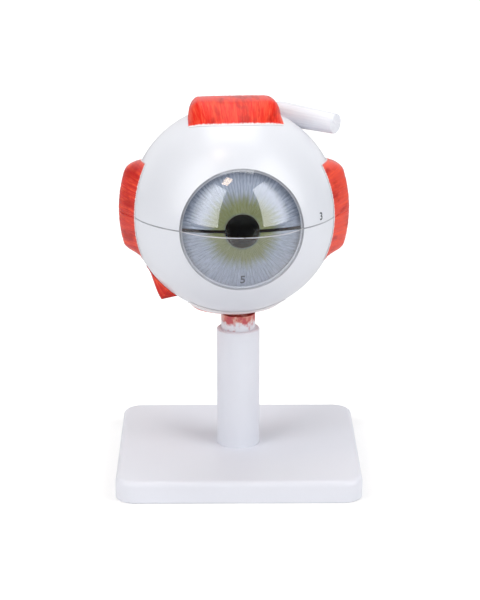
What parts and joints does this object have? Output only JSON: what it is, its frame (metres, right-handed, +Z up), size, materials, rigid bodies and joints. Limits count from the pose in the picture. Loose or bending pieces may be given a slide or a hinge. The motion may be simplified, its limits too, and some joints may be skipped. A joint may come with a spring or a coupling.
{
  "type": "eye anatomy model",
  "caption": "Enlarged teaching model of a right eye on a stem and slab base; the globe parts across its middle into nested sclera, choroid, vitreous and lens pieces.",
  "frame": {"origin": "middle of the footprint of the whole model, on the table plane under the base plate; the stem's axis stands 6.5 mm in front of it", "axes": "+Z up; the eye looks along -Y, turned 4.7 degrees towards +X, which is its nasal side; -X is the temple side of a right eye"},
  "size_m": [0.135, 0.142, 0.2112],
  "materials": {
    "base_plastic": "white, glossy",
    "stem_plastic": "white, satin",
    "steel": "plain steel",
    "peg_plastic": "white, smeared red at the top",
    "sclera_plastic": "bluish white, glossy",
    "cornea_clear": "clear moulded plastic",
    "muscle_upper": "brushed bright red paint",
    "muscle_lower": "white with a pink rim",
    "muscle_side": "brushed red paint",
    "tendon_white": "white",
    "nerve_cream": "cream yellow paint",
    "choroid_brown": "dark red brown paint",
    "retina_orange": "orange paint with vessels",
    "iris_green_grey": "blue grey and green, radially painted",
    "ciliary_brown": "dark brown paint",
    "vitreous_clear": "clear moulded plastic",
    "lens_clear": "clear cast plastic"
  },
  "bodies": {
    "stand": {"base_plate": "base_plastic", "stem_tube": "stem_plastic", "stem_screw": "steel", "screw_washer": "steel"},
    "neck": {"neck_peg": "peg_plastic"},
    "lower_globe": {"lower_sclera": "sclera_plastic", "lower_cornea": "cornea_clear", "inferior_rectus": "muscle_lower", "lateral_rectus_lower": "muscle_side", "medial_rectus_lower": "muscle_side", "inferior_oblique": "muscle_side", "optic_nerve_lower": "nerve_cream", "parting_pins": "steel"},
    "lower_inner": {"lower_choroid": "choroid_brown", "lower_retina": "retina_orange", "lower_iris": "iris_green_grey", "lower_ciliary_body": "ciliary_brown"},
    "vitreous_body": {"vitreous_front": "vitreous_clear", "vitreous_rear": "vitreous_clear"},
    "lens_body": {"lens": "lens_clear"},
    "upper_inner": {"upper_choroid": "choroid_brown", "upper_retina": "retina_orange", "upper_iris": "iris_green_grey", "upper_ciliary_body": "ciliary_brown"},
    "upper_globe": {"upper_sclera": "sclera_plastic", "upper_cornea": "cornea_clear", "superior_rectus": "muscle_upper", "lateral_rectus_upper": "muscle_side", "medial_rectus_upper": "muscle_side", "superior_oblique_tendon": "tendon_white", "optic_nerve_upper": "nerve_cream"}
  },
  "joints": [
    {"name": "globe_lift_off", "type": "slide", "parent": "stand", "child": "neck", "axis": [0, 0, 1], "range_m": [0, 0.045]},
    {"name": "globe_swivel", "type": "hinge", "parent": "neck", "child": "lower_globe", "pos_m": [0, -0.00651, 0.085], "axis": [0, 0, 1], "continuous": true},
    {"name": "lower_choroid_lift", "type": "slide", "parent": "lower_globe", "child": "lower_inner", "axis": [0, 0, 1], "range_m": [0, 0.065]},
    {"name": "vitreous_lift", "type": "slide", "parent": "lower_inner", "child": "vitreous_body", "axis": [0, 0, 1], "range_m": [0, 0.06]},
    {"name": "lens_play", "type": "slide", "parent": "vitreous_body", "child": "lens_body", "axis": [0.0819, -0.9966, 0], "range_m": [0, 0.0015]},
    {"name": "upper_choroid_lift", "type": "slide", "parent": "vitreous_body", "child": "upper_inner", "axis": [0, 0, 1], "range_m": [0, 0.06]},
    {"name": "upper_sclera_lift", "type": "slide", "parent": "upper_inner", "child": "upper_globe", "axis": [0, 0, 1], "range_m": [0, 0.07]}
  ]
}
